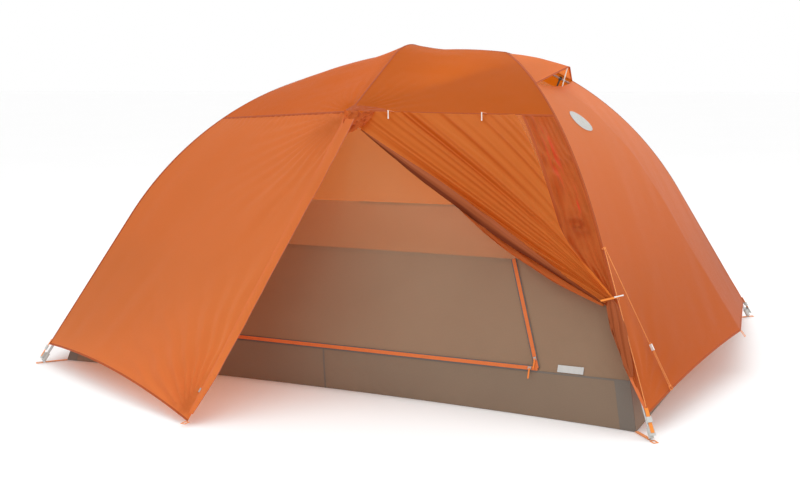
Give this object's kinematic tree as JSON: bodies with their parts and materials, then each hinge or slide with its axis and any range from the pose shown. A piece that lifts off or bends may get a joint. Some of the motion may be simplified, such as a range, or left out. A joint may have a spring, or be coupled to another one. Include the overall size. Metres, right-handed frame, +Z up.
{
  "type": "dome tent",
  "caption": "Pitched dome tent on a hubbed pole frame, with a zipped inner tent under a fly that has an open porch, a closed porch and a propped roof vent.",
  "frame": {"origin": "on the ground, midway along the floor sheet and on its centre line", "axes": "+X along the ridge to the wide head end, -Y to the open porch, +Z up"},
  "size_m": [2.6907, 2.7842, 1.2218],
  "materials": {
    "fly_orange": "coated ripstop, matt sheen",
    "fly_dark": "coated ripstop, matt sheen",
    "inner_wall": "plain weave, matt",
    "mesh": "fine net",
    "floor": "coated, smooth",
    "pole": "anodised",
    "cord_elastic": "braided elastic",
    "hub": "moulded",
    "buckle": "moulded",
    "toggle": "moulded",
    "webbing": "woven tape",
    "zip": "coil",
    "slider": "satin",
    "pull": "cord and moulding",
    "guy": "braided cord",
    "label": "printed tape, blank"
  },
  "bodies": {
    "tent": {"leg_pole_front_head": "pole", "leg_pole_rear_head": "pole", "leg_pole_front_foot": "pole", "leg_pole_rear_foot": "pole", "ridge_pole": "pole", "pole_ferrules": "pole", "shock_cords": "cord_elastic", "brow_pole": "pole", "hub_head": "hub", "hub_foot": "hub", "swivel_base": "hub", "swivel_cap": "hub", "pole_tips": "pole", "corner_buckles": "buckle", "corner_webbing": "webbing", "strap_adjusters": "buckle", "canopy_clips": "hub", "floor_sheet": "floor", "tub_walls": "floor", "side_walls": "inner_wall", "side_meshes": "mesh", "door_front": "inner_wall", "door_rear": "inner_wall", "end_walls": "inner_wall", "end_meshes": "mesh", "roof_mesh": "mesh", "fly_roof_front": "fly_orange", "fly_roof_rear": "fly_orange", "fly_end_foot": "fly_orange", "fly_end_head": "fly_orange", "vent_hood": "fly_orange", "vestibule_front": "fly_orange", "vestibule_side": "fly_orange", "vestibule_rear": "fly_orange", "fly_door_rolled": "fly_dark", "door_zips": "zip", "fly_zips": "zip", "storm_flaps": "fly_orange", "webbing_loops": "webbing", "guy_line_long": "guy", "guy_line_short": "guy", "size_label": "label"},
    "front_low_slider": {"door_slider_front_low": "slider"},
    "front_low_pull": {"door_pull_front_low": "pull"},
    "front_side_slider": {"door_slider_front_side": "slider"},
    "front_side_pull": {"door_pull_front_side": "pull"},
    "rear_low_slider": {"door_slider_rear_low": "slider"},
    "rear_low_pull": {"door_pull_rear_low": "pull"},
    "rear_side_slider": {"door_slider_rear_side": "slider"},
    "rear_side_pull": {"door_pull_rear_side": "pull"},
    "front_fly_slider": {"fly_slider_front": "slider"},
    "rear_fly_slider": {"fly_slider_rear": "slider"},
    "vent_prop": {"vent_strut": "toggle"},
    "inner_rollup_toggle": {"rollup_toggle_inner": "toggle"},
    "outer_rollup_toggle": {"rollup_toggle_outer": "toggle"},
    "tieback": {"tieback_toggle": "toggle"},
    "tensioner": {"guy_tensioner": "toggle"}
  },
  "joints": [
    {"name": "front_low_zip_slide", "type": "slide", "parent": "tent", "child": "front_low_slider", "axis": [-0.9995, 0.033, 0], "range_m": [-0.006, 1.3]},
    {"name": "front_low_pull_swing", "type": "hinge", "parent": "front_low_slider", "child": "front_low_pull", "pos_m": [0.77699, -0.83193, 0.15789], "axis": [-1, 0, 0], "range_deg": [0, 100]},
    {"name": "front_side_zip_slide", "type": "slide", "parent": "tent", "child": "front_side_slider", "axis": [-0.3447, 0.3913, 0.8533], "range_m": [-0.018, 0.32]},
    {"name": "front_side_pull_swing", "type": "hinge", "parent": "front_side_slider", "child": "front_side_pull", "pos_m": [0.79099, -0.81918, 0.18757], "axis": [-1, 0, 0], "range_deg": [0, 100]},
    {"name": "front_fly_zip_slide", "type": "slide", "parent": "tent", "child": "front_fly_slider", "axis": [0.1649, 0.6303, 0.7586], "range_m": [-0.03, 1.06]},
    {"name": "rear_low_zip_slide", "type": "slide", "parent": "tent", "child": "rear_low_slider", "axis": [-0.9995, -0.033, 0], "range_m": [-0.006, 1.3]},
    {"name": "rear_low_pull_swing", "type": "hinge", "parent": "rear_low_slider", "child": "rear_low_pull", "pos_m": [0.77699, 0.83193, 0.15789], "axis": [1, 0, 0], "range_deg": [0, 100]},
    {"name": "rear_side_zip_slide", "type": "slide", "parent": "tent", "child": "rear_side_slider", "axis": [-0.3447, -0.3913, 0.8533], "range_m": [-0.018, 0.32]},
    {"name": "rear_side_pull_swing", "type": "hinge", "parent": "rear_side_slider", "child": "rear_side_pull", "pos_m": [0.79099, 0.81918, 0.18757], "axis": [1, 0, 0], "range_deg": [0, 100]},
    {"name": "rear_fly_zip_slide", "type": "slide", "parent": "tent", "child": "rear_fly_slider", "axis": [0.1649, -0.6303, 0.7586], "range_m": [-0.03, 1.06]},
    {"name": "vent_prop_fold", "type": "hinge", "parent": "tent", "child": "vent_prop", "pos_m": [0.63065, 0, 1.05268], "axis": [0, 1, 0], "range_deg": [0, 90], "deforming": ["vent_hood"]},
    {"name": "inner_toggle_swing", "type": "hinge", "parent": "tent", "child": "inner_rollup_toggle", "pos_m": [0.1537, -0.56616, 0.98489], "axis": [-1, 0, 0], "range_deg": [0, 75]},
    {"name": "outer_toggle_swing", "type": "hinge", "parent": "tent", "child": "outer_rollup_toggle", "pos_m": [0.47898, -0.47889, 0.97683], "axis": [-1, 0, 0], "range_deg": [0, 75]},
    {"name": "tieback_toggle_turn", "type": "hinge", "parent": "tent", "child": "tieback", "pos_m": [1.06032, -0.78361, 0.40943], "axis": [0.2203, -0.7652, 0.6049], "range_deg": [-40, 40]},
    {"name": "tensioner_slide", "type": "slide", "parent": "tent", "child": "tensioner", "axis": [0.4678, -0.0936, -0.8789], "range_m": [0, 0.035]}
  ]
}
